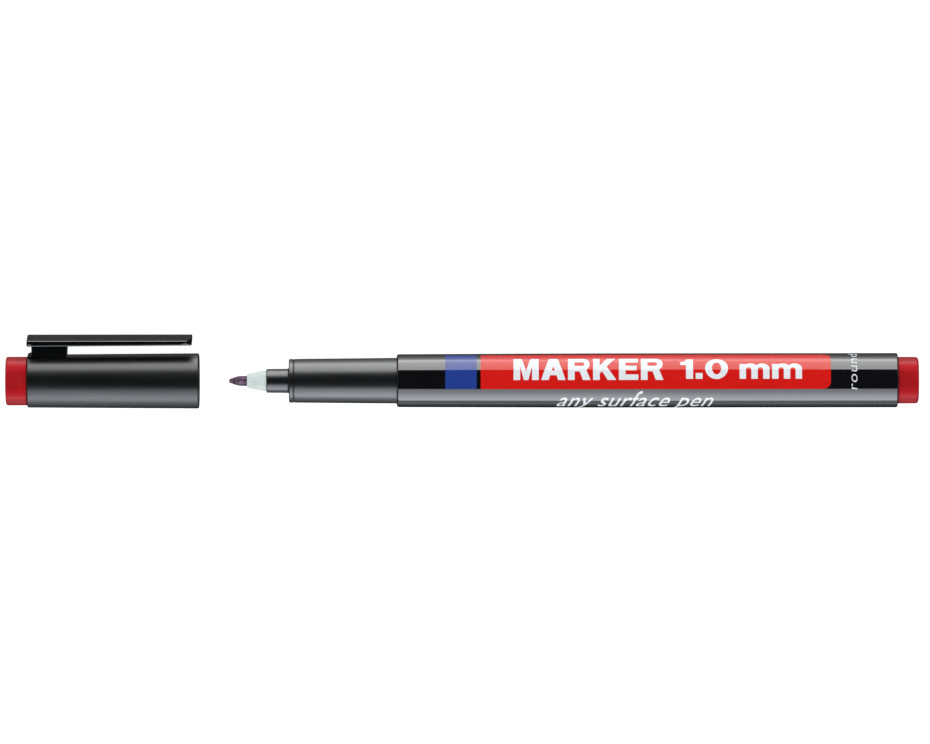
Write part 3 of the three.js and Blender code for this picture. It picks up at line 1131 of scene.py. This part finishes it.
def make_line(start, end, baseline):
    """The slanted line of text below the label."""
    bm = small_text("any surface pen", size=6.2, weight=0.01, slant=0.5, spacing=1.05)
    low, high = extent(bm)
    share = (end - start) / (high - low)
    for vert in bm.verts:
        vert.co.x = start + (vert.co.x - low) * share
        vert.co.y += baseline
    wrap_print("print_line", bm, "label_white", PRINT_HEIGHT)


def make_small_word(baseline, start, end):
    """The small word that runs round the barrel near its rear end."""
    bm = small_text("round", size=2.55, weight=-0.02, slant=0.1, spacing=1.1)
    low, high = extent(bm)
    share = (end - start) / (high - low)
    for vert in bm.verts:
        along = start + (vert.co.x - low) * share
        vert.co.x = baseline - vert.co.y
        vert.co.y = along
    bmesh.ops.recalc_face_normals(bm, faces=bm.faces)
    wrap_print("print_nib", bm, "label_white", PRINT_HEIGHT)


def round_barrel(degrees):
    """The length round the barrel of an angle from the line that faces the camera."""
    return math.radians(degrees) * BARREL_RADIUS


make_label()
make_bold_word("print_title", "MARKER", -79.1 * MM, -49.9 * MM, round_barrel(1.2))
make_bold_word("print_size", "1.0 mm", -46.6 * MM, -22.9 * MM, round_barrel(3.4), 0.91)
make_line(-70.7 * MM, -40.1 * MM, round_barrel(-69.5))
make_small_word(-12.1 * MM, round_barrel(-19.6), round_barrel(75))

# ---- Hidden CAD nodes that stay as they are ----

for node, slot in (("ink_reservoir", "reservoir_fibre"), ("reservoir_wrap", "wrap_film")):
    frame["nodes"][node].material_slots[0].material = MATERIALS[slot]

# ---- Floor and light ----

FLOOR_SIZE = 8  # metres
FLOOR_GLOW = 0.95  # makes the floor plain white


def make_floor():
    bm = bmesh.new()
    bmesh.ops.create_grid(bm, x_segments=8, y_segments=8, size=FLOOR_SIZE / 2)
    mesh = bpy.data.meshes.new("floor")
    bm.to_mesh(mesh)
    bm.free()
    material, shader = shader_of("floor_pale", 0.9, Specular_IOR_Level=0)
    shader.inputs["Base Color"].default_value = (0.3, 0.3, 0.3, 1)
    shader.inputs["Emission Color"].default_value = (1, 1, 1, 1)
    shader.inputs["Emission Strength"].default_value = FLOOR_GLOW
    mesh.materials.append(material)
    floor = bpy.data.objects.new("floor", mesh)
    floor.location = (PEN_LENGTH / 2, 0, cad_low.z - 0.01 * MM)
    floor.visible_glossy = False
    bpy.context.scene.collection.objects.link(floor)


# The light that gloss reflects, as (degrees from the camera's direction, brightness) round the pen's axis.
# Positive angles go towards the clip's side and negative ones away from it.
STUDIO = [
    (-180, 0.02),
    (-148, 0.03),
    (-140, 0.2),
    (-125, 0.45),
    (-120, 1.2),
    (-98, 1.6),
    (-94.5, 7.7),
    (-72, 7.5),
    (-52, 4.9),
    (-38, 4),
    (-36, 0.02),
    (46.5, 0.02),
    (48.5, 8.3),
    (56, 7.3),
    (67, 8),
    (90, 8.3),
    (92, 9.9),
    (98, 9.9),
    (101, 6.4),
    (109, 3),
    (117, 1.45),
    (126, 0.73),
    (140, 0.36),
    (145, 0.18),
    (151, 0.15),
    (155, 0.02),
    (180, 0.02),
]
STUDIO_PEAK = 12
COOL = (0.93, 0.98, 1.045)  # tint of the light on the side away from the clip
AROUND = 1.1  # brightness of the pale room

# Along the pen the softboxes end in a dark gap. Past it the room's ends are dim, with a weak copy of the
# softboxes. Stretches are given as the share of a direction that points along the pen.
GAP_STARTS = (0.36, 0.5)
GAP_ENDS = (0.56, 0.66)
GAP_LEVEL = 0.04
END_LEVEL = 0.25
END_COPY = 0.12


def make_world():
    """A pale room, where gloss sees two softboxes that run along the pen on both sides of the camera."""
    world = bpy.data.worlds.new("studio")
    world.use_nodes = True
    world.cycles.sampling_method = "NONE"
    nodes, links = world.node_tree.nodes, world.node_tree.links
    output = nodes["World Output"]
    room = nodes["Background"]
    room.inputs["Color"].default_value = (1, 1, 1, 1)
    room.inputs["Strength"].default_value = AROUND
    place = nodes.new("ShaderNodeTexCoord")
    parts = nodes.new("ShaderNodeSeparateXYZ")
    links.new(place.outputs["Generated"], parts.inputs["Vector"])

    def calculate(operation, *values):
        node = nodes.new("ShaderNodeMath")
        node.operation = operation
        for socket, value in zip(node.inputs, values):
            if isinstance(value, (int, float)):
                socket.default_value = value
            else:
                links.new(value, socket)
        return node.outputs["Value"]

    forward = calculate("MULTIPLY", parts.outputs["Y"], -1)
    elevation = calculate("ARCTAN2", parts.outputs["Z"], forward)
    turn = calculate("SUBTRACT", VIEW_ELEVATION, elevation)
    turn = calculate("WRAP", turn, math.pi, -math.pi)
    share = calculate("MULTIPLY_ADD", turn, 1 / (2 * math.pi), 0.5)
    ramp = nodes.new("ShaderNodeValToRGB")
    elements = ramp.color_ramp.elements
    while len(elements) < len(STUDIO):
        elements.new(0.5)
    for element, (angle, level) in zip(elements, STUDIO):
        tint = COOL if angle < 0 else (1, 1, 1)
        element.position = (angle + 180) / 360
        element.color = (*[level / STUDIO_PEAK * share_of for share_of in tint], 1)
    links.new(share, ramp.inputs["Fac"])
    softboxes = nodes.new("ShaderNodeBackground")
    softboxes.inputs["Strength"].default_value = STUDIO_PEAK
    links.new(ramp.outputs["Color"], softboxes.inputs["Color"])
    along = calculate("ABSOLUTE", parts.outputs["X"])

    def rise(start, end):
        step = nodes.new("ShaderNodeMapRange")
        step.interpolation_type = "SMOOTHSTEP"
        step.inputs["From Min"].default_value = start
        step.inputs["From Max"].default_value = end
        links.new(along, step.inputs["Value"])
        return step.outputs["Result"]

    far = rise(*GAP_ENDS)
    end_share = calculate("MULTIPLY_ADD", far, -END_COPY, rise(*GAP_STARTS))
    ends = nodes.new("ShaderNodeBackground")
    level = calculate("MULTIPLY_ADD", far, END_LEVEL - GAP_LEVEL, GAP_LEVEL)
    links.new(level, ends.inputs["Strength"])
    gloss = nodes.new("ShaderNodeMixShader")
    links.new(end_share, gloss.inputs["Fac"])
    links.new(softboxes.outputs["Background"], gloss.inputs[1])
    links.new(ends.outputs["Background"], gloss.inputs[2])
    rays = nodes.new("ShaderNodeLightPath")
    either = nodes.new("ShaderNodeMixShader")
    links.new(rays.outputs["Is Glossy Ray"], either.inputs["Fac"])
    links.new(room.outputs["Background"], either.inputs[1])
    links.new(gloss.outputs["Shader"], either.inputs[2])
    links.new(either.outputs["Shader"], output.inputs["Surface"])
    bpy.context.scene.world = world


make_floor()
make_world()
bpy.context.scene.view_settings.view_transform = "Standard"
